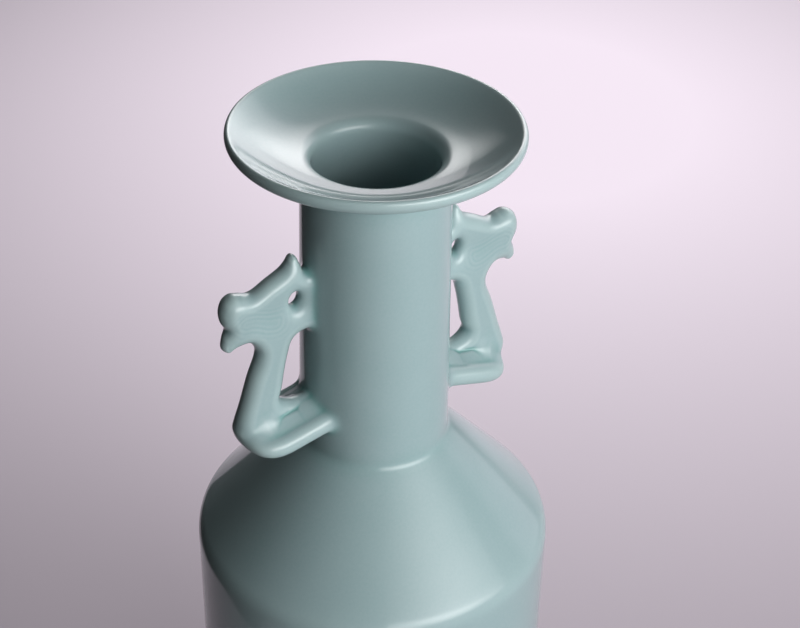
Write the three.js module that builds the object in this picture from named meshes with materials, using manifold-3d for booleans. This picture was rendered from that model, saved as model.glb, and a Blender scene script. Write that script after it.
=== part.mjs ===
// Celadon mallet vase with two bird handles, in millimetres, +Z up, standing on its foot at z = 0.
// The vessel is four thrown sections on one axis. Each handle is two moulded halves in the XZ plane.
import * as THREE from 'three';
import { mergeVertices } from 'three/addons/utils/BufferGeometryUtils.js';
import Module from 'manifold-3d';

// Vessel
const BODY_R = 69.5;
const WALL = 4.3;
const FOOT_OUTER_R = 53;
const FOOT_INNER_R = 45;
const FOOT_HEIGHT = 5;
const FOOT_CHAMFER = 0.8;
const BASE_ROUND = 15;
const SHOULDER_Z = 111;
const SHOULDER_ROUND = 11.5;
const SHOULDER_SLOPE = THREE.MathUtils.degToRad(48);
const NECK_FILLET = 5;
const NECK_BASE_R = 28.5;
const NECK_TAPER = 1.5;
const NECK_LENGTH = 105;
const MOUTH_R = 52.5;
const LIP_ROUND = 3.4;
const FLARE_FILLET = 9;
const FLARE_SLOPE = THREE.MathUtils.degToRad(22);
const LIP_EDGE_ROUND = 1.1;
const LIP_EDGE_TURN = THREE.MathUtils.degToRad(30);
const DISH_LIP_SLOPE = THREE.MathUtils.degToRad(38);
const DISH_THROAT_SLOPE = THREE.MathUtils.degToRad(6.5);
const THROAT_ROUND = 4.5;

// Joints of the vessel: how far each lies along the straight wall, and the slip in it
const BODY_JOINT_DROP = 9;
const NECK_JOINT_RISE = 3;
const MOUTH_JOINT_DROP = 3;
const SLIP = 0.6;

// Handle: [out from the neck's foot radius, up from the handle's datum]
const HANDLE_RISE = 10.4;
const HANDLE_SWING = THREE.MathUtils.degToRad(1.15);
const CREST_TIP = [5.8, 74];
const CREST_BACK = [1.6, 66.2];
const FOREHEAD = [9.8, 69];
const BROW = [21.8, 62.8];
const CHEEK = [27.5, 51];
const CHIN = [21, 41];
const NAPE = [4.6, 41.6];
const BEAK_TOP = [32.4, 51];
const BEAK_FRONT = [34.2, 45];
const BEAK_TIP = [31.2, 41.6];
const KNOB = [28.4, 58.2];
const KNOB_R = 6.1;
const KNOB_HALF_WIDTH = 5.2;
const STEM_TOP_OUT = [21, 36.5];
const STEM_FOOT_OUT = [30.2, 8.4];
const STEM_FOOT_IN = [12.4, 14.6];
const STEM_TOP_IN = [6.8, 42];
const GAP_FLOOR = [9.4, 12.4];
const FOOT_HEEL = [29.4, 2];
const FOOT_SOLE = [20, -2];
const FOOT_ROOT_LOW = 0.5;
const BLADE_WIDTH = 9.8;
const BLADE_ROUND = 2.6;
const EYE = [5.6, 56];
const EYE_HALF_WIDTH = 2.6;
const EYE_HALF_HEIGHT = 3.3;
const TAIL_HALF_WIDTH = 14.2;
const TAIL_STRAIGHT = 13.5;
const TAIL_LENGTH = 27.6;
const TAIL_SQUARENESS = 2.8;
const TAIL_THICK = 7.8;
const TAIL_ROUND = 3;
const TAIL_SLOPE = THREE.MathUtils.degToRad(15);
const GABLE_TOP = 11.8;
const GABLE_HALF_FLAT = 4.4;
const GABLE_SIDE_SLOPE = THREE.MathUtils.degToRad(38);
const GABLE_START = 5;
const GABLE_OUT_SLOPE = THREE.MathUtils.degToRad(19);
const GABLE_INSET = 2.4;

// Slip pads that bed a handle on the neck, and the clearances
const PAD_THICK = 1.4;
const PAD_MARGIN = 1.2;
const HEAD_PAD_LOW = 41;
const HEAD_PAD_HIGH = 66.8;
const TAIL_PAD_LOW = -1.2;
const TAIL_PAD_HIGH = 12.8;
const BED_GAP = 0.3;

// Fineness of round shapes, and lengths that only have to be long enough
const TURN_STEPS = 72;
const ARC_STEPS = 6;
const BEVEL_STEPS = 2;
const BALL_STEPS = 20;
const WELD = 1e-4;
const REACH = 4 * BODY_R;
const ROOT = -NECK_BASE_R / 2;

const GLAZE = { color: 0x8fa9a6, roughness: 0.12, metalness: 0 };
const SLIP_CLAY = { color: 0xb9b4a8, roughness: 0.9, metalness: 0 };

const wasm = await Module();
wasm.setup();

function welded(geometry) {
  const bare = geometry.index ? geometry.clone() : geometry;
  bare.deleteAttribute('normal');
  bare.deleteAttribute('uv');
  const merged = mergeVertices(bare, WELD);
  const index = merged.index.array;
  const kept = [];
  for (let i = 0; i < index.length; i += 3) {
    const [a, b, c] = index.slice(i, i + 3);
    if (a !== b && b !== c && c !== a) kept.push(a, b, c);
  }
  merged.setIndex(kept);
  return merged;
}

function solidOf(geometry) {
  const shell = welded(geometry);
  return new wasm.Manifold(new wasm.Mesh({
    numProp: 3,
    vertProperties: new Float32Array(shell.attributes.position.array),
    triVerts: new Uint32Array(shell.index.array),
  }));
}

function geometryOf(solid) {
  const mesh = solid.getMesh();
  const geometry = new THREE.BufferGeometry();
  geometry.setAttribute('position', new THREE.BufferAttribute(mesh.vertProperties, 3));
  geometry.setIndex(new THREE.BufferAttribute(mesh.triVerts, 1));
  geometry.computeVertexNormals();
  return geometry;
}

// Points of an arc about [r, z], from one angle to another, measured from +R towards +Z
function arc([r, z], radius, from, to) {
  return Array.from({ length: ARC_STEPS + 1 }, (_, i) => {
    const angle = from + (to - from) * i / ARC_STEPS;
    return [r + radius * Math.cos(angle), z + radius * Math.sin(angle)];
  });
}

// A profile of [r, z] points, counter-clockwise, turned about the vase's axis
function turned(profile) {
  const points = profile.map(([r, z]) => new THREE.Vector2(r, z));
  return new THREE.LatheGeometry(points, TURN_STEPS).rotateX(Math.PI / 2);
}

const closed = (profile) => [...profile, profile[0]];

const NECK_TOP_R = NECK_BASE_R - NECK_TAPER;

// Shoulder: the cone touches the rounding over the wall and the fillet at the neck's root
const UPRIGHT = Math.PI / 2;
const coneNormal = [Math.sin(SHOULDER_SLOPE), Math.cos(SHOULDER_SLOPE)];
const roundCentre = [BODY_R - SHOULDER_ROUND, SHOULDER_Z];
const coneOffset = coneNormal[0] * roundCentre[0] + coneNormal[1] * roundCentre[1] + SHOULDER_ROUND;
const filletR = NECK_BASE_R + NECK_FILLET;
const neckBaseZ = (coneOffset + NECK_FILLET - coneNormal[0] * filletR) / coneNormal[1];
const filletCentre = [filletR, neckBaseZ];
const neckTopZ = neckBaseZ + NECK_LENGTH;

// Mouth: the underside touches flare and lip, the lip's edge is a smaller round inside its own,
// and the hollow dish touches that edge and the throat
const flareCentre = [NECK_TOP_R + FLARE_FILLET, neckTopZ];
const flareOffset = Math.sin(FLARE_SLOPE) * flareCentre[0]
  - Math.cos(FLARE_SLOPE) * flareCentre[1] - FLARE_FILLET;
const lipR = MOUTH_R - LIP_ROUND;
const lipZ = (Math.sin(FLARE_SLOPE) * lipR - flareOffset + LIP_ROUND) / Math.cos(FLARE_SLOPE);
const edgeInset = LIP_ROUND - LIP_EDGE_ROUND;
const edgeCentre = [
  lipR + edgeInset * Math.cos(LIP_EDGE_TURN),
  lipZ + edgeInset * Math.sin(LIP_EDGE_TURN),
];
const throatR = NECK_TOP_R - WALL + THROAT_ROUND;
const dishRun = edgeCentre[0] - LIP_EDGE_ROUND * Math.sin(DISH_LIP_SLOPE)
  - throatR + THROAT_ROUND * Math.sin(DISH_THROAT_SLOPE);
const dishRound = dishRun / (Math.sin(DISH_LIP_SLOPE) - Math.sin(DISH_THROAT_SLOPE));
const dishReach = LIP_EDGE_ROUND + dishRound;
const dishCentre = [
  edgeCentre[0] - dishReach * Math.sin(DISH_LIP_SLOPE),
  edgeCentre[1] + dishReach * Math.cos(DISH_LIP_SLOPE),
];
const throatZ = dishCentre[1] - (dishRound + THROAT_ROUND) * Math.cos(DISH_THROAT_SLOPE);

const bodyJointZ = SHOULDER_Z - BODY_JOINT_DROP;
const neckJointZ = neckBaseZ + NECK_JOINT_RISE;
const mouthJointZ = neckTopZ - MOUTH_JOINT_DROP;

const neckRadius = (z) => {
  const share = THREE.MathUtils.clamp((z - neckBaseZ) / NECK_LENGTH, 0, 1);
  return THREE.MathUtils.lerp(NECK_BASE_R, NECK_TOP_R, share);
};

function bodyProfile() {
  const roundBase = [BODY_R - BASE_ROUND, FOOT_HEIGHT + BASE_ROUND];
  return [
    [0, FOOT_HEIGHT],
    [FOOT_INNER_R - FOOT_CHAMFER, FOOT_HEIGHT],
    [FOOT_INNER_R, FOOT_CHAMFER],
    [FOOT_INNER_R + FOOT_CHAMFER, 0],
    [FOOT_OUTER_R - FOOT_CHAMFER, 0],
    [FOOT_OUTER_R, FOOT_CHAMFER],
    [FOOT_OUTER_R, FOOT_HEIGHT],
    ...arc(roundBase, BASE_ROUND, -UPRIGHT, 0),
    [BODY_R, bodyJointZ],
    [BODY_R - WALL, bodyJointZ],
    ...arc(roundBase, BASE_ROUND - WALL, 0, -UPRIGHT),
    [0, FOOT_HEIGHT + WALL],
  ];
}

function shoulderProfile() {
  const coneAngle = UPRIGHT - SHOULDER_SLOPE;
  const turnIn = Math.PI + coneAngle;
  return closed([
    [BODY_R, bodyJointZ + SLIP],
    ...arc(roundCentre, SHOULDER_ROUND, 0, coneAngle),
    ...arc(filletCentre, NECK_FILLET, turnIn, Math.PI),
    [neckRadius(neckJointZ), neckJointZ],
    [neckRadius(neckJointZ) - WALL, neckJointZ],
    ...arc(filletCentre, NECK_FILLET + WALL, Math.PI, turnIn),
    ...arc(roundCentre, SHOULDER_ROUND - WALL, coneAngle, 0),
    [BODY_R - WALL, bodyJointZ + SLIP],
  ]);
}

function neckProfile() {
  const low = neckJointZ + SLIP;
  return closed([
    [neckRadius(low), low],
    [neckRadius(mouthJointZ), mouthJointZ],
    [neckRadius(mouthJointZ) - WALL, mouthJointZ],
    [neckRadius(low) - WALL, low],
  ]);
}

function mouthProfile() {
  const low = mouthJointZ + SLIP;
  const flareTurn = UPRIGHT + FLARE_SLOPE;
  return closed([
    [neckRadius(low), low],
    ...arc(flareCentre, FLARE_FILLET, Math.PI, flareTurn),
    ...arc([lipR, lipZ], LIP_ROUND, FLARE_SLOPE - UPRIGHT, LIP_EDGE_TURN),
    ...arc(edgeCentre, LIP_EDGE_ROUND, LIP_EDGE_TURN, UPRIGHT + DISH_LIP_SLOPE).slice(1),
    ...arc(dishCentre, dishRound, DISH_LIP_SLOPE - UPRIGHT, DISH_THROAT_SLOPE - UPRIGHT).slice(1),
    ...arc([throatR, throatZ], THROAT_ROUND, UPRIGHT + DISH_THROAT_SLOPE, Math.PI).slice(1),
    [neckRadius(low) - WALL, low],
  ]);
}

// The slip between two sections fills the joint from the inner wall to the outer one
function slipRingProfile(z) {
  const outer = z < neckBaseZ ? BODY_R : neckRadius(z);
  return closed([
    [outer, z],
    [outer, z + SLIP],
    [outer - WALL, z + SLIP],
    [outer - WALL, z],
  ]);
}

// The neck's own cone, made thicker by an offset: what beds and handles are cut to
function neckCore(offset) {
  return solidOf(turned([
    [0, neckBaseZ],
    [NECK_BASE_R + offset, neckBaseZ],
    [NECK_TOP_R + offset, neckTopZ],
    [0, neckTopZ],
  ]));
}

const handleZ = neckBaseZ + HANDLE_RISE;

// An outline in the handle's plane, given width across it, with its edges rounded off
function blade(points, width) {
  const shape = new THREE.Shape(points.map(([u, v]) => new THREE.Vector2(NECK_BASE_R + u, handleZ + v)));
  const geometry = new THREE.ExtrudeGeometry(shape, {
    depth: width - 2 * BLADE_ROUND,
    bevelSize: BLADE_ROUND,
    bevelOffset: -BLADE_ROUND,
    bevelThickness: BLADE_ROUND,
    bevelSegments: BEVEL_STEPS,
  });
  return solidOf(geometry.translate(0, 0, BLADE_ROUND - width / 2).rotateX(UPRIGHT));
}

function knob() {
  const ball = new THREE.SphereGeometry(KNOB_R, BALL_STEPS, BALL_STEPS / 2);
  ball.scale(1, 1, KNOB_HALF_WIDTH / KNOB_R);
  ball.rotateX(UPRIGHT);
  return solidOf(ball.translate(NECK_BASE_R + KNOB[0], 0, handleZ + KNOB[1]));
}

// Plan of the tail, an inset inside its edge: straight sides and a squarish round end
function tailPlan(inset) {
  const half = TAIL_HALF_WIDTH - inset;
  const reach = TAIL_LENGTH - TAIL_STRAIGHT - inset;
  const bulge = (value) => Math.sign(value) * Math.abs(value) ** (2 / TAIL_SQUARENESS);
  const end = arc([0, 0], 1, -UPRIGHT, 0).concat(arc([0, 0], 1, 0, UPRIGHT).slice(1));
  const points = end.map(([out, side]) => [TAIL_STRAIGHT + reach * bulge(out), half * bulge(side)]);
  const outline = [[ROOT, -half], ...points, [ROOT, half]];
  return new THREE.Shape(outline.map(([out, side]) => new THREE.Vector2(out, side)));
}

// Turns what was made flat over the tail's plan to the tail's slope, at the handle's datum
function tilted(geometry) {
  geometry.rotateY(TAIL_SLOPE);
  return solidOf(geometry.translate(NECK_BASE_R, 0, handleZ));
}

// The wide tail plate, falling away from the neck
function tail() {
  const geometry = new THREE.ExtrudeGeometry(tailPlan(0), {
    depth: TAIL_THICK - 2 * TAIL_ROUND,
    bevelSize: TAIL_ROUND,
    bevelOffset: -TAIL_ROUND,
    bevelThickness: TAIL_ROUND,
    bevelSegments: BEVEL_STEPS,
  });
  return tilted(geometry.translate(0, 0, TAIL_ROUND));
}

// The roof on the tail's root: level along the ridge, then falling to both sides and outward
function gable() {
  const half = TAIL_HALF_WIDTH;
  const eaves = GABLE_TOP - Math.tan(GABLE_SIDE_SLOPE) * (half - GABLE_HALF_FLAT);
  const outline = [[-half, -GABLE_TOP], [half, -GABLE_TOP], [half, eaves]];
  outline.push([GABLE_HALF_FLAT, GABLE_TOP], [-GABLE_HALF_FLAT, GABLE_TOP], [-half, eaves]);
  const section = new THREE.Shape(outline.map(([side, up]) => new THREE.Vector2(side, up)));
  const roof = new THREE.ExtrudeGeometry(section, { depth: TAIL_LENGTH - ROOT, bevelEnabled: false });
  roof.rotateX(UPRIGHT).rotateZ(UPRIGHT).translate(NECK_BASE_R + ROOT, 0, handleZ);
  const plan = new THREE.ExtrudeGeometry(tailPlan(GABLE_INSET), { depth: REACH, bevelEnabled: false });
  const above = new THREE.BoxGeometry(REACH, REACH, REACH).translate(0, 0, REACH / 2);
  above.rotateY(GABLE_OUT_SLOPE).translate(NECK_BASE_R + GABLE_START, 0, handleZ + GABLE_TOP);
  const overPlate = tilted(plan.translate(0, 0, TAIL_THICK / 2));
  return solidOf(roof).intersect(overPlate).subtract(solidOf(above));
}

function eye() {
  const drill = new THREE.CylinderGeometry(1, 1, REACH, BALL_STEPS);
  drill.scale(EYE_HALF_WIDTH, 1, EYE_HALF_HEIGHT);
  return solidOf(drill.translate(NECK_BASE_R + EYE[0], 0, handleZ + EYE[1]));
}

// The whole handle, seated on its pads
function handle() {
  const napeRoot = [ROOT, NAPE[1]];
  const crestRoot = [ROOT, CREST_BACK[1]];
  const face = [CHIN, CHEEK, BROW, FOREHEAD];
  const head = blade([napeRoot, NAPE, ...face, CREST_TIP, CREST_BACK, crestRoot], BLADE_WIDTH);
  const beak = blade([CHIN, BEAK_TIP, BEAK_FRONT, BEAK_TOP, BROW], BLADE_WIDTH);
  const stem = blade([STEM_FOOT_IN, STEM_FOOT_OUT, STEM_TOP_OUT, CHEEK, STEM_TOP_IN], BLADE_WIDTH);
  const footRoot = [[ROOT, GABLE_TOP], [ROOT, FOOT_ROOT_LOW]];
  const sole = [FOOT_SOLE, FOOT_HEEL];
  const foot = blade([...footRoot, ...sole, STEM_FOOT_OUT, STEM_FOOT_IN, GAP_FLOOR], BLADE_WIDTH);
  const bird = head.add(beak).add(stem).add(foot).add(knob()).add(tail()).add(gable());
  return bird.subtract(eye()).subtract(neckCore(PAD_THICK + 2 * BED_GAP));
}

// A saddle of slip on the neck, behind the handle between two heights
function pad(low, high, halfWidth) {
  const block = new THREE.BoxGeometry(REACH, 2 * halfWidth, high - low);
  block.translate(REACH / 2, 0, handleZ + (low + high) / 2);
  return neckCore(BED_GAP + PAD_THICK).subtract(neckCore(BED_GAP)).intersect(solidOf(block));
}

function halfSpace(side) {
  const block = new THREE.BoxGeometry(REACH, REACH, REACH);
  return solidOf(block.translate(0, side * REACH / 2, SHOULDER_Z));
}

const vase = new THREE.Group();

function place(name, geometry, finish, turn = 0) {
  const mesh = new THREE.Mesh(geometry, new THREE.MeshStandardMaterial(finish));
  mesh.name = name;
  mesh.rotation.z = turn;
  vase.add(mesh);
}

place('body', welded(turned(bodyProfile())), GLAZE);
place('shoulder', welded(turned(shoulderProfile())), GLAZE);
place('neck', welded(turned(neckProfile())), GLAZE);
place('mouth', welded(turned(mouthProfile())), GLAZE);
place('body_slip_ring', welded(turned(slipRingProfile(bodyJointZ))), SLIP_CLAY);
place('neck_slip_ring', welded(turned(slipRingProfile(neckJointZ))), SLIP_CLAY);
place('mouth_slip_ring', welded(turned(slipRingProfile(mouthJointZ))), SLIP_CLAY);

const bird = handle();
const HANDLE_TURNS = { right: HANDLE_SWING, left: Math.PI - HANDLE_SWING };
for (const [side, turn] of Object.entries(HANDLE_TURNS)) {
  const facing = side === 'right' ? { front: -1, back: 1 } : { front: 1, back: -1 };
  for (const [face, towards] of Object.entries(facing)) {
    place(`${side}_handle_${face}`, geometryOf(bird.intersect(halfSpace(towards))), GLAZE, turn);
  }
  const headPad = pad(HEAD_PAD_LOW, HEAD_PAD_HIGH, BLADE_WIDTH / 2 + PAD_MARGIN);
  place(`${side}_head_pad`, geometryOf(headPad), GLAZE, turn);
  const tailPad = pad(TAIL_PAD_LOW, TAIL_PAD_HIGH, TAIL_HALF_WIDTH + PAD_MARGIN);
  place(`${side}_tail_pad`, geometryOf(tailPad), GLAZE, turn);
}

export default vase;
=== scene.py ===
"""Celadon mallet vase with two bird handles: the glazed look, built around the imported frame.

The vessel is one smooth profile turned about the vase's axis and cut where its thrown sections
meet. A handle is the zero level of a distance field: a cushioned bird outline, a gabled tail plate
and the neck, run together with soft glaze fillets.
"""

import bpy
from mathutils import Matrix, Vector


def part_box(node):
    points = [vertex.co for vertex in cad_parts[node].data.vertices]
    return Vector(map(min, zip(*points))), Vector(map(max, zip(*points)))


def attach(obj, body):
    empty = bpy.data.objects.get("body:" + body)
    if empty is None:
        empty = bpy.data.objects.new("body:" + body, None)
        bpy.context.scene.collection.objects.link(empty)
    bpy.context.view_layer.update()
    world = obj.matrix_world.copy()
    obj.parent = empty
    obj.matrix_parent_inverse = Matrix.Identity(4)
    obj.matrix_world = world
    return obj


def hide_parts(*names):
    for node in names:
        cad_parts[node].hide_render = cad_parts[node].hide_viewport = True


bl_info = {
    "name": "Celadon Vase",
    "version": (1, 0, 0),
    "blender": (4, 5, 0),
    "location": "View3D > Sidebar > Vase",
    "description": "Glazed vase with two bird handles, its bare foot ring and a small studio",
    "category": "Add Mesh",
}

import math

import bpy
import numpy as np
from bpy.props import FloatProperty, FloatVectorProperty, IntProperty, PointerProperty
from mathutils import Matrix, Vector

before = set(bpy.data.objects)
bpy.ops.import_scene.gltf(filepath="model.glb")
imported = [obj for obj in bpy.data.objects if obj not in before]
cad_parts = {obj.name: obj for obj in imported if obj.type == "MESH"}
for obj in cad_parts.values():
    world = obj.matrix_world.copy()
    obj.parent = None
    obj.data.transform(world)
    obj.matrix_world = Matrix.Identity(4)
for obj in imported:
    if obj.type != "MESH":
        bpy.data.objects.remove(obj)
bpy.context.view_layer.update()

MM = 0.001
BODY_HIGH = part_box("body")[1]
SHOULDER_LOW, SHOULDER_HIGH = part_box("shoulder")
NECK_LOW, NECK_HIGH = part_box("neck")
MOUTH_LOW, MOUTH_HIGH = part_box("mouth")
UPRIGHT = math.pi / 2
SHARP_TURN = math.radians(50)


def length(name, text, default):
    """A length in metres that the sidebar shows."""
    return FloatProperty(name=name, description=text, default=default, min=0.0, unit="LENGTH")


def angle(name, text, degrees):
    """An angle that the sidebar shows in degrees."""
    return FloatProperty(name=name, description=text, default=math.radians(degrees), subtype="ANGLE")


def colour(name, text, default):
    """A linear colour that the sidebar shows."""
    return FloatVectorProperty(name=name, description=text, default=default, size=3,
                               min=0.0, max=1.0, subtype="COLOR")


class VesselSettings(bpy.types.PropertyGroup):
    """Sizes of the turned vessel that the frame's boxes don't give."""

    wall: length("Wall", "Thickness of the thrown wall", 4.3 * MM)
    foot_outer: length("Foot outside", "Outer radius of the foot ring", 53 * MM)
    foot_inner: length("Foot inside", "Inner radius of the foot ring", 45 * MM)
    foot_height: length("Foot height", "Height of the foot ring", 5 * MM)
    foot_bevel: length("Foot bevel", "Rounding of the foot ring's lower edges", 0.8 * MM)
    glaze_line: length("Glaze line", "Height at which the glaze stops on the foot", 2.2 * MM)
    base_round: length("Base rounding", "Radius from the foot to the wall", 15 * MM)
    shoulder_rise: length("Shoulder rise", "Straight wall above the body joint", 9 * MM)
    shoulder_round: length("Shoulder rounding", "Radius from the wall to the shoulder", 11.5 * MM)
    shoulder_slope: angle("Shoulder slope", "Fall of the shoulder from the level", 48)
    neck_fillet: length("Neck fillet", "Radius from the shoulder to the neck", 5 * MM)
    neck_radius: length("Neck radius", "Radius of the neck at its root", 28.5 * MM)
    neck_taper: length("Neck taper", "How much narrower the neck is at its top", 1.5 * MM)
    neck_overrun: length("Neck overrun", "Straight neck above the mouth joint", 3 * MM)
    lip_round: length("Lip rounding", "Radius of the lip", 3.4 * MM)
    flare_fillet: length("Flare fillet", "Radius from the neck to the mouth's underside", 9 * MM)
    flare_slope: angle("Flare slope", "Rise of the mouth's underside", 22)
    lip_edge: length("Lip edge", "Radius of the lip's upper edge", 1.1 * MM)
    lip_turn: angle("Lip turn", "Where the lip's rounding passes into its edge", 30)
    dish_lip_slope: angle("Dish slope at lip", "Fall of the dish inside the lip", 38)
    dish_throat_slope: angle("Dish slope at throat", "Fall of the dish where it meets the throat", 6.5)
    throat_round: length("Throat rounding", "Radius from the dish to the bore", 4.5 * MM)
    glaze_soften: length("Softening", "How far the glaze evens out each edge", 0.7 * MM)
    ring_step: length("Ring step", "Greatest distance between two rings of the mesh", 2.5 * MM)
    ring_turn: angle("Ring turn", "Greatest bend between two rings of the mesh", 1.8)
    turn_steps: IntProperty(name="Turn steps", description="Points round the axis", default=224, min=24)


class HandleSettings(bpy.types.PropertyGroup):
    """Sizes of the bird handles. Their outline is in BIRD_OUTLINE."""

    rise: length("Rise", "Height of the handle's datum over the neck's root", 10.4 * MM)
    half_width: length("Half width", "Half the width of the stem across its plane", 4.9 * MM)
    edge: length("Edge", "How far the rounding of an edge reaches into the face", 4.8 * MM)
    tail_half_width: length("Tail half width", "Half the width of the tail plate", 14.2 * MM)
    tail_straight: length("Tail straight", "Length of the tail plate's straight sides", 13.5 * MM)
    tail_length: length("Tail length", "Reach of the tail plate from the neck", 27.6 * MM)
    tail_thick: length("Tail thickness", "Thickness of the tail plate at its edge", 7.8 * MM)
    left_slope: angle("Left tail slope", "Fall of the left tail plate away from the neck", 13.5)
    right_slope: angle("Right tail slope", "Fall of the right tail plate away from the neck", 16.5)
    left_bow: FloatProperty(name="Left tail bow", description="How much the left tail bows up again",
                            default=0.012)
    right_bow: FloatProperty(name="Right tail bow", description="How much the right tail bows up again",
                             default=0.002)
    fillet: length("Fillet", "Radius of the glaze where the handle meets the neck", 2.2 * MM)
    swing: angle("Swing", "Turn of each handle round the neck, away from the front", 1.15)
    step: length("Mesh step", "Size of the cells that the surface is found in", 0.42 * MM)


class FinishSettings(bpy.types.PropertyGroup):
    """Colours of the glaze and the clay."""

    glaze: colour("Glaze", "Celadon glaze at its usual depth", (0.290, 0.405, 0.417))
    glaze_thin: colour("Thin glaze", "Glaze drawn thin over an edge", (0.380, 0.500, 0.502))
    glaze_pooled: colour("Pooled glaze", "Glaze gathered in a hollow", (0.150, 0.315, 0.305))
    clay: colour("Clay", "Unglazed foot, burnt in the firing", (0.360, 0.190, 0.105))
    # The paper's own colour is grey; it looks pale from a painted glow of light in its finish.
    paper: colour("Paper", "Pale paper that the vase stands on", (0.220, 0.195, 0.220))
    backdrop: colour("Backdrop", "Bright paper behind the vase", (0.980, 0.866, 0.980))


class StudioSettings(bpy.types.PropertyGroup):
    """Camera of the photograph's view."""

    place: FloatVectorProperty(name="Camera place", description="Where the camera stands", size=3,
                               default=(-0.27424, -0.43965, 0.56403), subtype="TRANSLATION")
    yaw: angle("Camera yaw", "Turn of the view from +Y towards +X", 32.985)
    pitch: angle("Camera pitch", "Fall of the view below the level", 34.295)
    roll: angle("Camera roll", "Lean of the picture", 1.135)
    lens: FloatProperty(name="Lens", description="Focal length on a 36 mm sensor", default=76.5,
                        unit="CAMERA")


# Mesh making


def mesh_piece(name, points, faces, material, depth):
    """A mesh object at the origin, smooth except at sharp corners, with its glaze depth stored."""
    mesh = bpy.data.meshes.new(name)
    mesh.from_pydata(points, [], faces)
    mesh.shade_smooth()
    mesh.set_sharp_from_angle(angle=SHARP_TURN)
    stored = mesh.attributes.new("glaze_depth", "FLOAT", "POINT")
    stored.data.foreach_set("value", np.asarray(depth, np.float32))
    mesh.materials.append(material)
    piece = bpy.data.objects.new(name, mesh)
    bpy.context.scene.collection.objects.link(piece)
    return piece


def mount(piece, slot, *nodes):
    """Lets a piece ride on the vase's one body in place of its CAD nodes."""
    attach(piece, "root")
    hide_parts(*nodes)


def lathe(profile, steps):
    """A profile of (r, z) points turned about Z, as points and quads.

    Point (i, j) is (r_i cos a_j, r_i sin a_j, z_i), with a_j spaced evenly round the circle. The
    profile runs with the clay on its left, so the faces point out. Where it starts and ends on the
    axis each end is one pole, and elsewhere it closes on itself.
    """
    on_axis = profile[0, 0] == 0
    rings = profile[1:-1] if on_axis else profile
    turn = np.arange(steps) * (2 * math.pi / steps)
    r, z = rings[:, :1], rings[:, 1:]
    grid = np.stack([r * np.cos(turn), r * np.sin(turn), z + 0 * turn], -1)
    count = len(rings)
    here = np.arange(count - 1 if on_axis else count)[:, None]
    above = (here + 1) % count
    side = np.arange(steps)
    after = (side + 1) % steps
    index = [here * steps + side, here * steps + after, above * steps + after, above * steps + side]
    faces = np.stack(index, -1).reshape(-1, 4).tolist()
    points = grid.reshape(-1, 3)
    if on_axis:
        low, high = len(points), len(points) + 1
        points = np.vstack([points, [[0, 0, profile[0, 1]], [0, 0, profile[-1, 1]]]])
        last = (count - 1) * steps
        faces += np.stack([side * 0 + low, after, side], -1).tolist()
        faces += np.stack([side * 0 + high, last + side, last + after], -1).tolist()
    return points, faces


def spread_round(values, steps, on_axis):
    """Repeats a value of each profile point round its ring, in the order of lathe's points."""
    if not on_axis:
        return np.repeat(values, steps)
    return np.concatenate([np.repeat(values[1:-1], steps), values[[0, -1]]])


# The vessel

FINE_STEP = 0.25 * MM
BELL_REACH = 3
GLAZE_FLOW = 2.75 * MM
USUAL_DEPTH = 0.5
DEPTH_PER_BEND = 1.1 * MM
BEVEL_STEPS = 6


def arc(centre, radius, start, stop, steps=24):
    """Points of an arc in the (r, z) plane, between two angles measured from +R towards +Z."""
    turn = np.linspace(start, stop, steps + 1)
    return np.stack([centre[0] + radius * np.cos(turn), centre[1] + radius * np.sin(turn)], -1)


def vessel_line(s):
    """The glazed wall's line from the foot, up the outside, over the lip and down to the floor.

    Straight stretches join arcs that they touch: base, shoulder, neck root, flare, lip, the lip's
    edge, the hollow dish and the throat, then the vessel's arcs one wall thickness further in.
    """
    cone = UPRIGHT - s.shoulder_slope
    across, up = math.cos(cone), math.sin(cone)
    base = (BODY_HIGH.x - s.base_round, s.foot_height + s.base_round)
    shoulder = (BODY_HIGH.x - s.shoulder_round, BODY_HIGH.z + s.shoulder_rise)
    reach = across * shoulder[0] + up * shoulder[1] + s.shoulder_round + s.neck_fillet
    root_r = s.neck_radius + s.neck_fillet
    root = (root_r, (reach - across * root_r) / up)
    top_r = s.neck_radius - s.neck_taper
    flare = (top_r + s.flare_fillet, NECK_HIGH.z + s.neck_overrun)
    inset, steep, flat = s.lip_round - s.lip_edge, s.dish_lip_slope, s.dish_throat_slope
    lip = (MOUTH_HIGH.x - s.lip_round, MOUTH_HIGH.z - s.lip_edge - inset * math.sin(s.lip_turn))
    edge = (lip[0] + inset * math.cos(s.lip_turn), MOUTH_HIGH.z - s.lip_edge)
    throat_r = top_r - s.wall + s.throat_round
    run = edge[0] - s.lip_edge * math.sin(steep) - throat_r + s.throat_round * math.sin(flat)
    dish_round = run / (math.sin(steep) - math.sin(flat))
    reach = s.lip_edge + dish_round
    dish = (edge[0] - reach * math.sin(steep), edge[1] + reach * math.cos(steep))
    throat = (throat_r, dish[1] - (dish_round + s.throat_round) * math.cos(flat))
    return np.vstack([
        [[s.foot_outer, s.glaze_line]],
        [[s.foot_outer, s.foot_height]],
        arc(base, s.base_round, -UPRIGHT, 0),
        arc(shoulder, s.shoulder_round, 0, cone),
        arc(root, s.neck_fillet, math.pi + cone, math.pi),
        arc(flare, s.flare_fillet, math.pi, UPRIGHT + s.flare_slope),
        arc(lip, s.lip_round, s.flare_slope - UPRIGHT, s.lip_turn),
        arc(edge, s.lip_edge, s.lip_turn, UPRIGHT + steep),
        arc(dish, dish_round, steep - UPRIGHT, flat - UPRIGHT),
        arc(throat, s.throat_round, UPRIGHT + flat, math.pi),
        arc(root, s.neck_fillet + s.wall, math.pi, math.pi + cone),
        arc(shoulder, s.shoulder_round - s.wall, cone, 0),
        arc(base, s.base_round - s.wall, 0, -UPRIGHT),
        [[0, s.foot_height + s.wall]],
    ])


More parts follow.
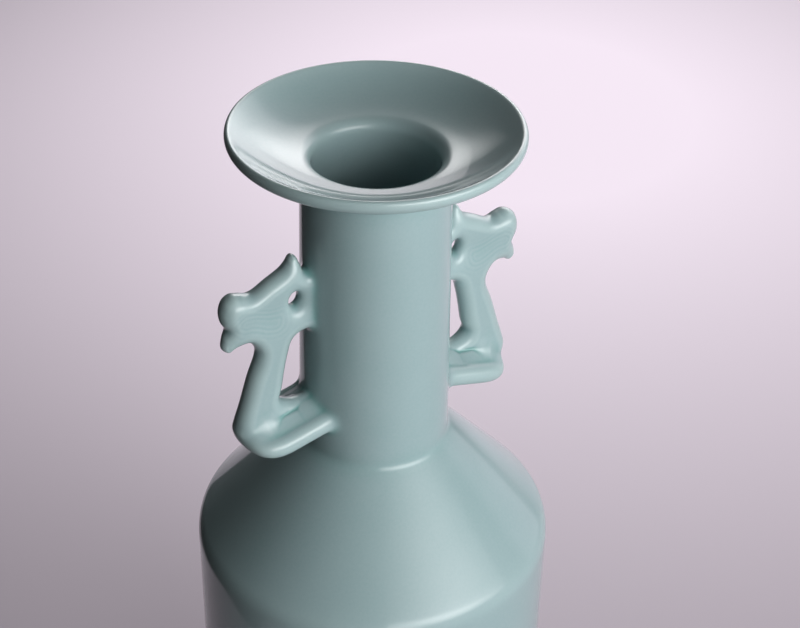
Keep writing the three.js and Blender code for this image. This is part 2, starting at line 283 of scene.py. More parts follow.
def even_line(line, step):
    """The same line with points a step apart along it, ends kept."""
    along = np.concatenate([[0], np.cumsum(np.hypot(*np.diff(line, axis=0).T))])
    kept = np.concatenate([[True], np.diff(along) > 0])
    marks = np.linspace(0, along[-1], round(along[-1] / step) + 1)
    return np.stack([np.interp(marks, along[kept], line[kept, k]) for k in (0, 1)], -1)


def soften(values, sigma):
    """Running mean along the first axis, its weight a bell sigma points wide, with the ends held."""
    reach = max(1, math.ceil(BELL_REACH * sigma))
    weight = np.exp(-0.5 * (np.arange(-reach, reach + 1) / sigma) ** 2)
    weight /= weight.sum()
    first, last = values[:1], values[-1:]
    before, after = 2 * first - values[reach:0:-1], 2 * last - values[-2:-reach - 2:-1]
    padded = np.concatenate([before, values, after])
    return sum(w * padded[k:k + len(values)] for k, w in enumerate(weight))


def line_bend(line):
    """Signed curvature of a line: its turn over its length, above 0 where the wall bulges."""
    step = np.gradient(line, axis=0)
    heading = np.unwrap(np.arctan2(step[:, 1], step[:, 0]))
    return np.gradient(heading) / np.hypot(step[:, 0], step[:, 1])


def depth_from_bend(bend):
    """Glaze depth, from 0 where it is drawn thin to 1 where it pools: the usual one less the bend."""
    return np.clip(USUAL_DEPTH - DEPTH_PER_BEND * bend, 0, 1)


def between(columns, marks):
    """Rows of an array at places given as fractions of its row numbers."""
    index = np.arange(len(columns))
    return np.stack([np.interp(marks, index, column) for column in columns.T], -1)


def thinned(wall, ring_step, ring_turn):
    """Fewer rows of (r, z, depth), at most a ring step and a ring turn of the line apart."""
    line = wall[:, :2]
    need = np.maximum(np.abs(line_bend(line)) / ring_turn, 1 / ring_step)
    far = np.hypot(*np.diff(line, axis=0).T)
    rings = np.concatenate([[0], np.cumsum(far * (need[1:] + need[:-1]) / 2)])
    even = np.linspace(0, rings[-1], math.ceil(rings[-1]) + 1)
    return between(wall, np.interp(even, rings, np.arange(len(wall))))


def crossings(wall, z):
    """Fractional row numbers where a wall passes a height, outside first and inside last."""
    height = wall[:, 1] - z
    at = np.flatnonzero((height[1:] > 0) != (height[:-1] > 0))
    share = height[at] / (height[at] - height[at + 1])
    return (at + share)[[0, -1]]


def cut_section(wall, low, high):
    """The closed profile of one thrown section, between two joint heights of the wall, or its ends."""
    def run(first, last):
        whole = np.arange(math.floor(first) + 1, math.ceil(last))
        return between(wall, np.concatenate([[first], whole, [last]]))

    if high is None:
        return run(*crossings(wall, low))
    outside, inside = crossings(wall, high)
    start, stop = (0, len(wall) - 1) if low is None else crossings(wall, low)
    return np.vstack([run(start, outside), run(inside, stop)])


def throw_section(name, profile, material, steps):
    """One glazed section as a closed mesh, from its rows of (r, z, depth)."""
    points, faces = lathe(profile[:, :2], steps)
    depth = spread_round(profile[:, 2], steps, profile[0, 0] == 0)
    return mesh_piece(name, points, faces, material, depth)


class VASE_OT_vessel(bpy.types.Operator):
    """Turns body, shoulder, neck and mouth from one line, each a closed wall"""

    bl_idname = "vase.vessel"
    bl_label = "Throw the vessel"

    def execute(self, context):
        s = context.scene.vase_vessel
        glaze = glaze_finish(context.scene.vase_finish)
        line = soften(even_line(vessel_line(s), FINE_STEP), s.glaze_soften / FINE_STEP)
        line[-1, 0] = 0
        depth = soften(depth_from_bend(line_bend(line)), GLAZE_FLOW / FINE_STEP)
        wall = thinned(np.column_stack([line, depth]), s.ring_step, s.ring_turn)
        joints = ((BODY_HIGH, SHOULDER_LOW), (SHOULDER_HIGH, NECK_LOW), (NECK_HIGH, MOUTH_LOW))
        low, middle, high = ((a.z + b.z) / 2 for a, b in joints)
        edge = s.foot_height - s.foot_bevel
        under = [(0, s.foot_height), (s.foot_inner - s.foot_bevel, s.foot_height),
                 (s.foot_inner, edge), (s.foot_inner, s.glaze_line)]
        under = np.column_stack([under, np.full(len(under), USUAL_DEPTH)])
        sections = {
            "body": (np.vstack([under, cut_section(wall, None, low)]), "body_slip_ring"),
            "shoulder": (cut_section(wall, low, middle), "neck_slip_ring"),
            "neck": (cut_section(wall, middle, high), "mouth_slip_ring"),
            "mouth": (cut_section(wall, high, None), None),
        }
        for name, (profile, slip) in sections.items():
            piece = throw_section(f"glazed_{name}", profile, glaze, s.turn_steps)
            mount(piece, "glaze", *filter(None, (name, slip)))
        return {"FINISHED"}


class VASE_OT_foot(bpy.types.Operator):
    """Turns the unglazed ring that the vase stands on"""

    bl_idname = "vase.foot"
    bl_label = "Turn the foot ring"

    def execute(self, context):
        s = context.scene.vase_vessel
        inner, outer, bevel = s.foot_inner, s.foot_outer, s.foot_bevel
        profile = np.vstack([
            [[inner, s.glaze_line]],
            arc((inner + bevel, bevel), bevel, math.pi, 3 * UPRIGHT, BEVEL_STEPS),
            arc((outer - bevel, bevel), bevel, -UPRIGHT, 0, BEVEL_STEPS),
            [[outer, s.glaze_line]],
        ])
        points, faces = lathe(profile, s.turn_steps)
        clay = clay_finish(context.scene.vase_finish)
        ring = mesh_piece("bare_foot_ring", points, faces, clay, np.zeros(len(points)))
        mount(ring, "bare_clay")
        return {"FINISHED"}


# The bird handles: (out from the neck's root radius, up from the handle's datum), in millimetres

HANDLE_NODES = ("handle_front", "handle_back", "head_pad", "tail_pad")
BIRD_OUTLINE = (
    (-6.0, 42.4), (1.5, 42.2), (6.4, 40.2), (8.6, 34.2), (10.2, 26.8), (11.4, 20.0), (12.5, 15.4),
    (9.6, 12.6), (4.5, 11.6), (-6.0, 11.8), (-6.0, 0.5), (10.0, -1.5), (20.0, -2.0), (27.6, -0.2),
    (30.5, 4.4), (29.8, 9.2), (27.4, 16.8), (24.2, 27.0), (21.2, 34.7), (21.1, 39.4), (24.0, 43.3),
    (28.6, 42.9), (31.7, 41.5), (34.1, 43.6), (33.6, 47.4), (32.4, 51.0), (33.9, 54.6), (34.2, 58.6),
    (32.6, 62.6), (29.4, 64.5), (26.0, 63.9), (21.7, 63.0), (15.5, 66.1), (10.3, 68.8), (8.1, 71.1),
    (7.0, 73.0), (5.6, 73.9), (4.1, 72.8), (2.6, 69.4), (0.8, 66.2), (-6.0, 65.4),
)
RIM_PASSES, RIM_BLEND = 14, (0.6, 2.2)

# Swells and dips of the half width: (out, up, spread, amount)
BIRD_SWELLS = {
    "knob": (28.4, 58.6, 5.0, 0.5),
    "cheek": (15.0, 53.0, 7.0, -0.9),
    "eye": (5.2, 55.6, 5.2, -1.7),
    "crest": (5.6, 74.0, 6.0, -0.8),
    "beak": (32.0, 43.5, 6.0, -1.2),
    "heel": (17.0, 9.5, 3.6, 0.4),
}
EYE_PLACE, EYE_HALF = (5.6, 56.0), (2.2, 3.1)
EYE_FLARE, EYE_ROUND = 3.6, 3.0

# Cheek lines, with the sway of the hand: (size, waves along u, waves along v, start)
LINE_START, LINE_STOP = (13.5, 50.5), (26.0, 53.5)
LINE_PITCH, LINE_DEPTH, LINE_REACH = 1.9, 0.018, (2.0, 9.5)
SWAY_U, SWAY_V = (0.7, 0.2, 0.55, 0.0), (0.6, 0.42, 0.0, 1.0)

# Tail plate: the pitch of its roof grows outward, and its end is hipped
TAIL_PITCH, TAIL_PITCH_AT, TAIL_PITCH_GAIN, TAIL_PITCH_RANGE = 0.85, 9.5, 0.06, (0.7, 1.5)
TAIL_RIDGE, TAIL_EAVES, TAIL_HIP = 2.5, 1.2, (0.3, 1.1)
TAIL_SQUARENESS = 2.8
TAIL_CAP, TAIL_CAP_ROUND = 11.8, 3.0
TAIL_BOW_START = 11.0

# Foot of the stem: its flare, its fillet on the plate, and the seam that the fillet runs out into
FLARE_SLOPE, FLARE_TOP, FLARE_LOW, FLARE_RUN, FLARE_SOFT = 0.16, 13.0, -2.0, (12.0, 20.0), 2.0
CREASE, FOOT_FILLET, FOOT_RUN = 0.25, 3.2, (12.0, 18.0)
SEAM_DEPTH, SEAM_WIDTH, SEAM_RISE, SEAM_FADE = 0.25, 0.65, (5.0, 8.0), (10.0, 16.0)

# The grid that the surface is found in, how far it is kept under the neck, and its last drawing
LOW_CORNER = (-11.0, -22.0, -10.0)
HIGH_CORNER = (37.0, 22.0, 77.0)
SKIN_DEPTH, FILLET_SHARE = 1.0, 0.96
DRAWN_DEPTH, DRAW_STEPS, DRAW_REACH = 0.3, 3, 0.3
TINY = 1e-9


def closed_curve(points, steps=14):
    """A Catmull-Rom curve through a ring of points: each span blends its four neighbours' places."""
    p = np.asarray(points, float)
    before, start, stop, after = (np.roll(p, k, axis=0)[:, None] for k in (1, 0, -1, -2))
    t = (np.arange(steps) / steps)[None, :, None]
    line = 0.5 * (2 * start + (stop - before) * t + (2 * before - 5 * start + 4 * stop - after) * t ** 2
                  + (3 * start - before - 3 * stop + after) * t ** 3)
    return line.reshape(-1, 2)


def signed_distance(line, x, y):
    """Distance from grid points to a closed line, below 0 inside it, by crossings of a level ray."""
    px, py = x.ravel()[:, None], y.ravel()[:, None]
    ax, ay = line.T
    bx, by = np.roll(line, -1, axis=0).T
    dx, dy = bx - ax, by - ay
    share = np.clip(((px - ax) * dx + (py - ay) * dy) / (dx ** 2 + dy ** 2), 0, 1)
    far = np.hypot(px - ax - share * dx, py - ay - share * dy).min(1)
    straddles = (ay > py) != (by > py)
    crosses = straddles & (px < ax + dx * (py - ay) / np.where(dy == 0, 1, dy))
    return np.where(crosses.sum(1) % 2 == 1, -far, far).reshape(x.shape)


def blur(grid, passes):
    """Repeated 1-2-1 means along both axes of a plane grid, edges repeated."""
    for _ in range(passes):
        for axis, count in enumerate(grid.shape):
            place = np.arange(count)
            ahead = grid.take(np.minimum(place + 1, count - 1), axis)
            behind = grid.take(np.maximum(place - 1, 0), axis)
            grid = (behind + 2 * grid + ahead) / 4
    return grid


def rounded_edge(inset, reach, across, half):
    """Field of a plate: an ellipse of (reach, half) rounds its edge, from the rim to the flat face."""
    rim = np.maximum((inset + reach) / reach, 0)
    face = across / half
    return (np.hypot(rim, face) - 1) * np.minimum(reach, half)


def melt(a, b, width):
    """A soft union: the lower of two fields, less a sixth of the width times their nearness cubed.

    The nearness is 1 where the fields are equal and 0 where they are a width or more apart.
    """
    near = np.maximum(width - np.abs(a - b), 0) / width
    return np.minimum(a, b) - near ** 3 * width / 6


def smooth_step(x, low, high):
    """0 below low, 1 above high, and between them 3 t^2 - 2 t^3, t being the share of the way."""
    t = np.clip((x - low) / (high - low), 0, 1)
    return t * t * (3 - 2 * t)


def soft_ramp(x, width):
    """x well above 0, and 0 well below: half the sum of x and the hypotenuse of x and the width."""
    return (x + np.hypot(x, width)) / 2


def sway(wave, u, v):
    """How far an unsteady hand strays at a place: a sine wave over the face."""
    size, along_u, along_v, start = wave
    return size * np.sin(along_u * u + along_v * v + start)


def cheek_lines(u, v):
    """Faint nested loops on the cheek, from 1 on a line to -1 between two.

    They are waves of the distance from a short line along the head, drawn by an unsteady hand, and
    fade out beyond it.
    """
    u, v = u + sway(SWAY_U, u, v), v + sway(SWAY_V, u, v)
    (u0, v0), (u1, v1) = LINE_START, LINE_STOP
    run, rise = u1 - u0, v1 - v0
    along = np.clip(((u - u0) * run + (v - v0) * rise) / (run ** 2 + rise ** 2), 0, 1)
    far = np.hypot(u - u0 - along * run, v - v0 - along * rise)
    shown = smooth_step(far, 0, LINE_REACH[0]) * (1 - smooth_step(far, *LINE_REACH))
    return shown * np.cos(2 * math.pi * far / LINE_PITCH)


def tail_frame(s, side, u, v):
    """Place along the tail plate and height over its underside, which falls and bows up again."""
    slope = getattr(s, f"{side}_slope")
    out = u * math.cos(slope) - v * math.sin(slope)
    bow = getattr(s, f"{side}_bow") * np.maximum(out - TAIL_BOW_START, 0) ** 2
    return out, u * math.sin(slope) + v * math.cos(slope) - bow


def tail_end(s, out):
    """How far a place lies along the plate's round end: 0 on its straight sides, 1 at its tip."""
    straight = s.tail_straight / MM
    return np.maximum(out - straight, 0) / (s.tail_length / MM - straight)


def tail_top(s, out, y):
    """Height of the plate's top over its underside: a soft roof, steeper outward, hipped at the end."""
    thick = s.tail_thick / MM
    inset = s.tail_half_width / MM - thick / 2 - np.hypot(y, TAIL_RIDGE)
    pitch = TAIL_PITCH * np.clip(1 + TAIL_PITCH_GAIN * (out - TAIL_PITCH_AT), *TAIL_PITCH_RANGE)
    hip = 1 - smooth_step(tail_end(s, out), *TAIL_HIP)
    return thick + pitch * hip * soft_ramp(inset, TAIL_EAVES)


def blade_field(s, u, y, v):
    """Field of head and stem: the outline's rounded plate, its swells and dips, and the open eye.

    The outline gives the distance from the rim, the swells set the half width, and the eye is an
    elliptic hole that widens towards both faces as a hyperbola does. The stem's foot widens evenly
    downwards.
    """
    plane_u, plane_v = u[:, 0, :], v[:, 0, :]
    rim = signed_distance(closed_curve(BIRD_OUTLINE), plane_u, plane_v)
    rim = rim + smooth_step(-rim, *RIM_BLEND) * (blur(rim, RIM_PASSES) - rim)
    half = s.half_width / MM - LINE_DEPTH * cheek_lines(plane_u, plane_v)
    for centre_u, centre_v, spread, amount in BIRD_SWELLS.values():
        square = (plane_u - centre_u) ** 2 + (plane_v - centre_v) ** 2
        half += amount * np.exp(-square / spread ** 2)
    below = soft_ramp(FLARE_TOP - np.maximum(plane_v, FLARE_LOW), FLARE_SOFT)
    half += FLARE_SLOPE * smooth_step(plane_u, *FLARE_RUN) * below
    blade = rounded_edge(rim[:, None], s.edge / MM, np.abs(y), half[:, None])
    off = np.hypot((plane_u - EYE_PLACE[0]) / EYE_HALF[0], (plane_v - EYE_PLACE[1]) / EYE_HALF[1])
    eye = (off[:, None] - np.hypot(1, y / EYE_FLARE)) * EYE_HALF[0]
    return -melt(-blade, eye, EYE_ROUND)


def tail_field(s, side, u, y, v):
    """Field of the tail: a bowed plate with rolled edges and a pitched top, cut level in the gap.

    The plate's plan is straight along the neck's side and ends as half a squared ellipse.
    """
    out, lift = tail_frame(s, side, u, v)
    half_width = s.tail_half_width / MM
    power = TAIL_SQUARENESS
    off = (tail_end(s, out) ** power + np.abs(y / half_width) ** power) ** (1 / power)
    plan = (off - 1) * half_width
    half_thick = tail_top(s, out, y) / 2
    plate = rounded_edge(plan, s.tail_thick / MM / 2, np.abs(lift - half_thick), half_thick)
    return -melt(-plate, TAIL_CAP - v, TAIL_CAP_ROUND)


def neck_field(s, vessel, u, y, v):
    """Field of the neck behind a handle: distance from the vase's axis less the cone's radius there."""
    neck_r = vessel.neck_radius / MM
    tall = (NECK_HIGH.z - SHOULDER_HIGH.z + 2 * vessel.neck_overrun) / MM
    cone = neck_r - vessel.neck_taper / MM * (v + s.rise / MM) / tall
    return np.hypot(u + neck_r, y) - cone


def surface_net(field, low, step):
    """The zero level of a field on a grid, as points and quads that face where the field rises.

    Each cell that the level crosses holds one point, the mean of the crossings on its edges. Each
    grid edge that the level crosses gives one quad, between the four cells round it.
    """
    inside = field < 0
    cells = tuple(n - 1 for n in field.shape)
    total, count = np.zeros((3, *cells)), np.zeros(cells)
    for axis in range(3):
        turn = [axis, (axis + 1) % 3, (axis + 2) % 3]
        f = field.transpose(turn)
        crossed = (f[:-1] < 0) != (f[1:] < 0)
        share = np.where(crossed, f[:-1] / np.where(crossed, f[:-1] - f[1:], 1), 0)
        sums, hits = total.transpose(0, *(k + 1 for k in turn)), count.transpose(turn)
        for a in (0, 1):
            for b in (0, 1):
                part = np.s_[:, a:crossed.shape[1] - 1 + a, b:crossed.shape[2] - 1 + b]
                sums[axis] += share[part]
                sums[turn[1]] += a * crossed[part]
                sums[turn[2]] += b * crossed[part]
                hits += crossed[part]
    held = np.argwhere(count > 0)
    points = low + step * (held + (total[:, count > 0] / count[count > 0]).T)
    index = np.full(cells, -1)
    index[tuple(held.T)] = np.arange(len(held))
    quads = []
    for axis in range(3):
        turn = [axis, (axis + 1) % 3, (axis + 2) % 3]
        f, ids = inside.transpose(turn)[:, 1:-1, 1:-1], index.transpose(turn)
        ring = np.stack([ids[:, :-1, :-1], ids[:, 1:, :-1], ids[:, 1:, 1:], ids[:, :-1, 1:]], -1)
        quads.append(ring[f[:-1] & ~f[1:]])
        quads.append(ring[~f[:-1] & f[1:]][:, ::-1])
    return points, np.concatenate(quads)


def sampled(grid, places):
    """Values of a grid at places given in cells, by a weighted mean of the eight corners round each."""
    base = np.clip(np.floor(places).astype(int), 0, np.array(grid.shape) - 2)
    part = places - base
    value = 0
    for corner in np.ndindex(2, 2, 2):
        weight = np.prod(np.where(corner, part, 1 - part), axis=1)
        value = value + weight * grid[tuple((base + corner).T)]
    return value


def bird_surface(s, vessel, side):
    """Points, quads, normals and glaze depth of one side's handle, in (u, y, v) millimetres.

    The bird is melted into the neck, and what is more than a skin under the neck's own surface, or
    beyond the fillet, is cut away. The points are then drawn onto the melted surface itself.
    """
    step = s.step / MM
    low, high = np.array(LOW_CORNER), np.array(HIGH_CORNER)
    axes = [np.arange(a, b, step) for a, b in zip(low, high)]
    u, y, v = np.meshgrid(*axes, indexing="ij")
    crease = CREASE + FOOT_FILLET * smooth_step(u, *FOOT_RUN)
    blade, tail = blade_field(s, u, y, v), tail_field(s, side, u, y, v)
    seam = SEAM_DEPTH * smooth_step(u, *SEAM_RISE) * (1 - smooth_step(u, *SEAM_FADE))
    bird = melt(blade, tail, crease) + seam * np.exp(-(blade ** 2 + tail ** 2) / SEAM_WIDTH ** 2)
    neck = neck_field(s, vessel, u, y, v)
    width = 2 * s.fillet / MM
    skin = melt(bird, neck, width)
    cut = np.maximum(np.maximum(skin, -SKIN_DEPTH - neck), bird - FILLET_SHARE * width)
    points, quads = surface_net(cut, low, step)
    slopes = np.gradient(skin, step)
    steep = np.sqrt(sum(g ** 2 for g in slopes)) + TINY
    unit = [g / steep for g in slopes]
    bend = sum(np.gradient(n, step, axis=k) for k, n in enumerate(unit))
    drawn = sampled(neck, (points - low) / step) > -DRAWN_DEPTH
    for _ in range(DRAW_STEPS):
        place = (points - low) / step
        normal = np.stack([sampled(n, place) for n in unit], -1)
        move = np.clip(-sampled(skin, place) / sampled(steep, place), -DRAW_REACH, DRAW_REACH)
        points = points + np.where(drawn, move, 0)[:, None] * normal
    place = (points - low) / step
    normal = np.stack([sampled(n, place) for n in unit], -1)
    normal /= np.linalg.norm(normal, axis=1, keepdims=True)
    return points, quads, normal, depth_from_bend(sampled(bend, place) / MM)


class VASE_OT_handles(bpy.types.Operator):
    """Moulds a bird for each side of the neck, with its tail as that side's settled"""

    bl_idname = "vase.handles"
    bl_label = "Mould the bird handles"

    def execute(self, context):
        s, vessel = context.scene.vase_handle, context.scene.vase_vessel
        glaze = glaze_finish(context.scene.vase_finish)
        root = SHOULDER_HIGH.z - vessel.neck_overrun
        for side, facing in (("right", 1), ("left", -1)):
            points, quads, normal, depth = bird_surface(s, vessel, side)
            places = points * MM + np.array([vessel.neck_radius, 0, root + s.rise])
            cos, sin = facing * math.cos(s.swing), math.sin(s.swing)
            turn = np.array([[cos, sin, 0], [-sin, cos, 0], [0, 0, 1]])
            bird = mesh_piece(f"{side}_bird_handle", places @ turn, quads.tolist(), glaze, depth)
            bird.data.normals_split_custom_set_from_vertices((normal @ turn).tolist())
            mount(bird, "glaze", *(f"{side}_{node}" for node in HANDLE_NODES))
        return {"FINISHED"}


# Finishes

CLOUD_SCALE, CLOUD_AMOUNT = 38, 0.22
SPECK_SCALE, SPECK_AMOUNT = 900, 0.16
GRAIN_SCALE, GRAIN_SHADE, GRAIN_STOPS = 700, 0.55, (0.3, 0.7)
TOOTH_STRENGTH, TOOTH_HEIGHT = 0.4, 0.1 * MM
# Painted pool of light on the paper, brightest behind the vase: its centre, reach, strength and least
# level
PAINTED_GLOW_CENTRE = (0.385, 0.431, 0)
PAINTED_GLOW_REACH = (0.129, 0.628)
PAINTED_GLOW_STRENGTH, PAINTED_GLOW_LEAST = 0.724, 0.140
FAR_REACH, FAR_STRENGTH = (0.72, 0.90), 0.65
PAPER_FADE = (1.2, 2.6)


def fill(node, inputs):
    """Sets the inputs of a node, or links those whose value is another node's output."""
    for key, value in inputs.items():
        if isinstance(value, bpy.types.NodeSocket):
            node.id_data.links.new(value, node.inputs[key])
        else:
            node.inputs[key].default_value = value


def node_adder(tree):
    """A function that adds a node with its settings and with its inputs filled."""
    def add(kind, inputs=(), **settings):
        node = tree.nodes.new(kind)
        for key, value in settings.items():
            setattr(node, key, value)
        fill(node, dict(inputs))
        return node

    return add


def combined(add, operation, *values, **settings):
    """Some numbers or outputs of nodes, combined by one operation."""
    inputs = dict(enumerate(values))
    return add("ShaderNodeMath", inputs, operation=operation, **settings).outputs[0]


def noise(add, place, scale, detail):
    """Soft noise over the object, 0.5 on average."""
    inputs = {"Vector": place, "Scale": scale, "Detail": detail}
    return add("ShaderNodeTexNoise", inputs).outputs["Fac"]


def graded(add, value, start, stop, **settings):
    """A value graded from one (place, level) to another, and held beyond them."""
    inputs = {"Value": value, "From Min": start[0], "From Max": stop[0],
              "To Min": start[1], "To Max": stop[1]}
    return add("ShaderNodeMapRange", inputs, **settings).outputs["Result"]


def seen_directly(add):
    """1 for what the camera sees, itself or in a shiny or clear surface, and 0 for all other light."""
    path = add("ShaderNodeLightPath").outputs
    seen = combined(add, "MAXIMUM", path["Is Camera Ray"], path["Is Glossy Ray"])
    return combined(add, "MAXIMUM", seen, path["Is Transmission Ray"])


def new_finish(name):
    """A node material, a function that adds a node to it, and its shader, or None where it exists."""
    material = bpy.data.materials.get(name)
    if material:
        return material, None, None
    material = bpy.data.materials.new(name)
    material.use_nodes = True
    tree = material.node_tree
    return material, node_adder(tree), tree.nodes["Principled BSDF"]


def glaze_finish(finish):
    """Thick celadon glaze: pale where it is thin, deeper where it pools, faintly clouded, glossy."""
    material, add, shader = new_finish("celadon_glaze")
    if not shader:
        return material
    place = add("ShaderNodeTexCoord").outputs["Object"]
    stored = add("ShaderNodeAttribute", attribute_name="glaze_depth").outputs["Fac"]
    cloud = noise(add, place, CLOUD_SCALE, 3)
    speck = noise(add, place, SPECK_SCALE, 2)
    drift = combined(add, "MULTIPLY_ADD", cloud, CLOUD_AMOUNT, -CLOUD_AMOUNT / 2)
    grain = combined(add, "MULTIPLY_ADD", speck, SPECK_AMOUNT, -SPECK_AMOUNT / 2)
    uneven = combined(add, "ADD", drift, grain)
    depth = combined(add, "ADD", stored, uneven, use_clamp=True)
    ramp = add("ShaderNodeValToRGB", {"Fac": depth})
    stops = ramp.color_ramp.elements
    stops[0].color = (*finish.glaze_thin, 1)
    stops[1].color = (*finish.glaze_pooled, 1)
    stops.new(USUAL_DEPTH).color = (*finish.glaze, 1)
    fill(shader, {
        "Base Color": ramp.outputs["Color"],
        "Roughness": 0.5,
        "Specular IOR Level": 0.35,
        "IOR": 1.5,
        "Coat Weight": 1.0,
        "Coat Roughness": 0.06,
        "Coat IOR": 1.37,
    })
    return material


def clay_finish(finish):
    """Matt fired clay: a burnt body colour with darker grains and a fine tooth."""
    material, add, shader = new_finish("bare_clay")
    if not shader:
        return material
    place = add("ShaderNodeTexCoord").outputs["Object"]
    grain = noise(add, place, GRAIN_SCALE, 4)
    ramp = add("ShaderNodeValToRGB", {"Fac": grain})
    stops = ramp.color_ramp.elements
    stops[0].position, stops[1].position = GRAIN_STOPS
    stops[0].color = (*(GRAIN_SHADE * c for c in finish.clay), 1)
    stops[1].color = (*finish.clay, 1)
    raised = {"Height": grain, "Strength": TOOTH_STRENGTH, "Distance": TOOTH_HEIGHT}
    tooth = add("ShaderNodeBump", raised).outputs["Normal"]
    fill(shader, {"Base Color": ramp.outputs["Color"], "Normal": tooth, "Roughness": 0.9})
    return material


def paper_finish(finish):
    """Plain grey paper with a painted pool of light, brightest behind the vase, that thins out to the
    backdrop's colour far from it.

    The painted light is a glow that only shows directly, and falls with the distance from its centre.
    Outside the photograph's view it rises again to the backdrop's level, for the camera alone.
    """
    material, add, shader = new_finish("pale_paper")
    if not shader:
        return material
    place = add("ShaderNodeTexCoord").outputs["Object"]
    far = add("ShaderNodeVectorMath", {0: place}, operation="LENGTH").outputs["Value"]
    fade = graded(add, far, (PAPER_FADE[0], 1), (PAPER_FADE[1], 0))
    off = add("ShaderNodeVectorMath", {0: place, 1: PAINTED_GLOW_CENTRE}, operation="DISTANCE").outputs["Value"]
    # Painted light: a pool of light on the paper that falls with the distance from its centre
    painted_glow = graded(add, off, (PAINTED_GLOW_REACH[0], PAINTED_GLOW_STRENGTH), (PAINTED_GLOW_REACH[1], PAINTED_GLOW_LEAST))
    near = combined(add, "MULTIPLY", painted_glow, seen_directly(add))
    rise = graded(add, off, (FAR_REACH[0], 0), (FAR_REACH[1], FAR_STRENGTH))
    camera = add("ShaderNodeLightPath").outputs["Is Camera Ray"]
    fill(shader, {
        "Base Color": (*finish.paper, 1),
        "Roughness": 0.85,
        "Emission Color": (*finish.backdrop, 1),
        "Emission Strength": combined(add, "MULTIPLY_ADD", rise, camera, near),
        "Alpha": fade,
    })
    return material


# Studio

PAPER_RADIUS, PAPER_THICK, PAPER_RINGS, PAPER_SIDES = 2.8, 0.002, 15, 48
SENSOR_WIDTH = 36

# Panel lamps: name, azimuth and elevation in degrees, sides in metres, watts, hot point, fall
LAMPS = (
    ("key_softbox", -83, 20, (2.4, 1.0), 76, (0.55, 0.42), 10),
    ("side_softbox", 35, 24, (1.3, 0.8), 10.5, (0.5, 0.5), 5),
    ("back_softbox", 58, 33, (0.9, 0.5), 7.2, (0.45, 0.4), 9),
)
LAMP_REACH = 1.2
LIT_POINT = Vector((0, 0, 0.2))
CARD_FEET = ((-0.20, -0.46, 0), (-0.40, -0.30, 0), (-0.16, 0.02, 0), (0.10, 0.92, 0))
CARD_TALL = Vector((0, 0, 0.9))
CARD_COLOUR = (0.01, 0.01, 0.01, 1)
AIR_LEVEL = 0.015
AIR_TURN, AIR_LIFT = math.radians(25), 0.05
AIR_WAY = Vector((math.cos(AIR_TURN), math.sin(AIR_TURN), AIR_LIFT))
AIR_EDGE = (0.70, 0.84)


def softbox(name, turn, lift, size, power, hot, fall):
    """A rectangular panel lamp round the neck that faces it, brightest at one point of its face.

    It stands at an azimuth and an elevation as seen from the neck, in degrees. Over its face the
    light falls from the hot point as a bell curve: exp(-fall d^2), d in shares of the panel's sides.
    """
    lamp = bpy.data.lights.new(name, "AREA")
    lamp.shape = "RECTANGLE"
    lamp.size, lamp.size_y = size
    lamp.energy = power
    lamp.use_nodes = True
    tree = lamp.node_tree
    add = node_adder(tree)
    face = add("ShaderNodeNewGeometry").outputs["Parametric"]
    off = add("ShaderNodeVectorMath", {0: face, 1: (*hot, 0)}, operation="DISTANCE").outputs["Value"]
    power_of_e = combined(add, "MULTIPLY", combined(add, "MULTIPLY", off, off), -fall)
    fill(tree.nodes["Emission"], {"Strength": combined(add, "EXPONENT", power_of_e)})
    holder = bpy.data.objects.new(name, lamp)
    bpy.context.scene.collection.objects.link(holder)
    azimuth, elevation = math.radians(turn), math.radians(lift)
    level = Vector((math.cos(azimuth), math.sin(azimuth), 0))
    away = math.cos(elevation) * level + Vector((0, 0, math.sin(elevation)))
    facing = (-away).to_track_quat("-Z", "Y")
    place = Matrix.Translation(LIT_POINT + LAMP_REACH * away)
    holder.matrix_world = place @ facing.to_matrix().to_4x4()
    holder.visible_camera = False


def dark_card():
    """A folded dark card that stands just outside the picture's left edge and keeps that side unlit."""
    feet = [Vector(foot) for foot in CARD_FEET]
    corners = feet + [foot + CARD_TALL for foot in feet]
    count = len(feet)
    leaves = [(k, k + 1, k + 1 + count, k + count) for k in range(count - 1)]
    mesh = bpy.data.meshes.new("dark_card")
    mesh.from_pydata([c[:] for c in corners], [], leaves)
    material, _, shader = new_finish("dark_card")
    if shader:
        fill(shader, {"Base Color": CARD_COLOUR, "Roughness": 0.9})
    mesh.materials.append(material)
    card = bpy.data.objects.new("dark_card", mesh)
    bpy.context.scene.collection.objects.link(card)
    card.visible_camera = False


def backdrop(finish):
    """Air of the studio, which hardly lights the vase.

    The camera sees it as a pale wall all round. Shiny surfaces show that wall on one side only, with
    a smooth edge over the cosine of the angle from its direction.
    """
    world = bpy.data.worlds.new("studio_air")
    world.use_nodes = True
    tree = world.node_tree
    add = node_adder(tree)
    way = add("ShaderNodeTexCoord").outputs["Generated"]
    near = add("ShaderNodeVectorMath", {0: way, 1: AIR_WAY}, operation="DOT_PRODUCT").outputs["Value"]
    wall = graded(add, near, (AIR_EDGE[0], 0), (AIR_EDGE[1], 1), interpolation_type="SMOOTHSTEP")
    seen = add("ShaderNodeLightPath").outputs["Is Camera Ray"]
    bright = combined(add, "MAXIMUM", wall, seen)
    shown = combined(add, "MULTIPLY", bright, seen_directly(add))
    level = combined(add, "MAXIMUM", shown, AIR_LEVEL)
    fill(tree.nodes["Background"], {"Color": (*finish.backdrop, 1), "Strength": level})
    bpy.context.scene.world = world


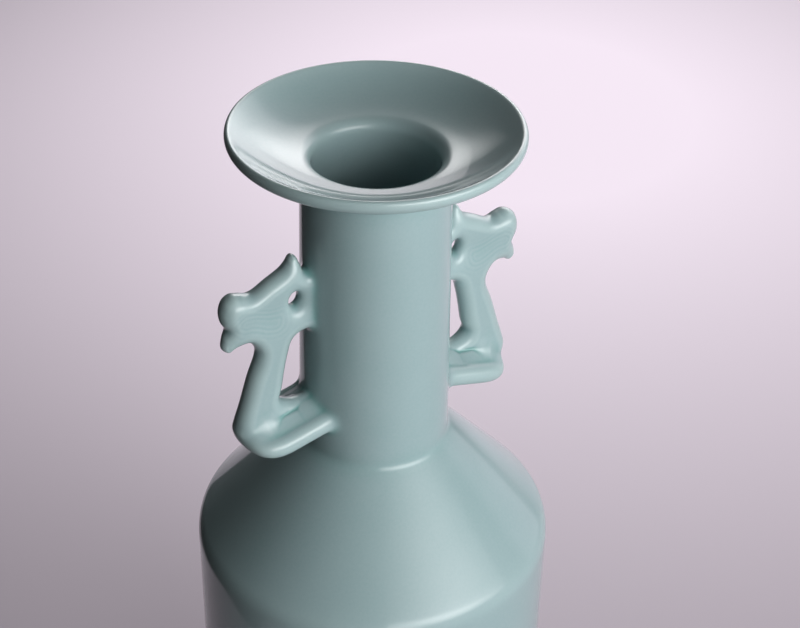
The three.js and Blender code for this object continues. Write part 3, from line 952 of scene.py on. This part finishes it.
class VASE_OT_studio(bpy.types.Operator):
    """Lays the paper and sets the lamps, the dark card and the camera of the photograph's view"""

    bl_idname = "vase.studio"
    bl_label = "Set up the studio"

    def execute(self, context):
        scene, s = context.scene, context.scene.vase_studio
        top = np.stack([np.linspace(PAPER_RADIUS, 0, PAPER_RINGS), np.zeros(PAPER_RINGS)], -1)
        under = [(0, -PAPER_THICK), (PAPER_RADIUS, -PAPER_THICK)]
        points, faces = lathe(np.vstack([under, top]), PAPER_SIDES)
        plain = paper_finish(scene.vase_finish)
        paper = mesh_piece("paper", points, faces, plain, np.zeros(len(points)))
        backdrop(scene.vase_finish)
        for lamp in LAMPS:
            softbox(*lamp)
        dark_card()
        eye = bpy.data.cameras.new("camera")
        eye.lens = s.lens
        eye.sensor_width = SENSOR_WIDTH
        holder = bpy.data.objects.new("camera", eye)
        scene.collection.objects.link(holder)
        holder.matrix_world = (
            Matrix.Translation(s.place)
            @ Matrix.Rotation(-s.yaw, 4, "Z")
            @ Matrix.Rotation(UPRIGHT - s.pitch, 4, "X")
            @ Matrix.Rotation(s.roll, 4, "Z")
        )
        scene.camera = holder
        scene.view_settings.view_transform = "Standard"
        return {"FINISHED"}


class VASE_PT_sidebar(bpy.types.Panel):
    """Sizes, colours and making steps of the vase"""

    bl_label = "Celadon Vase"
    bl_idname = "VASE_PT_sidebar"
    bl_space_type = "VIEW_3D"
    bl_region_type = "UI"
    bl_category = "Vase"

    def draw(self, context):
        for maker in MAKERS:
            self.layout.operator(maker.bl_idname)
        for group in SETTINGS:
            box = self.layout.box()
            held = getattr(context.scene, group)
            for key in held.__annotations__:
                box.prop(held, key)


SETTINGS = {
    "vase_vessel": VesselSettings,
    "vase_handle": HandleSettings,
    "vase_finish": FinishSettings,
    "vase_studio": StudioSettings,
}
MAKERS = (VASE_OT_vessel, VASE_OT_foot, VASE_OT_handles, VASE_OT_studio)


def register():
    """Adds the classes, and the settings to the scene."""
    for kind in (*SETTINGS.values(), *MAKERS, VASE_PT_sidebar):
        bpy.utils.register_class(kind)
    for key, kind in SETTINGS.items():
        setattr(bpy.types.Scene, key, PointerProperty(type=kind))


def unregister():
    """Takes the settings and the classes away again."""
    for key in SETTINGS:
        delattr(bpy.types.Scene, key)
    for kind in (VASE_PT_sidebar, *reversed(MAKERS), *reversed(SETTINGS.values())):
        bpy.utils.unregister_class(kind)


def main():
    """Makes the vase and its studio."""
    register()
    bpy.ops.vase.vessel()
    bpy.ops.vase.foot()
    bpy.ops.vase.handles()
    bpy.ops.vase.studio()


if __name__ == "__main__":
    main()
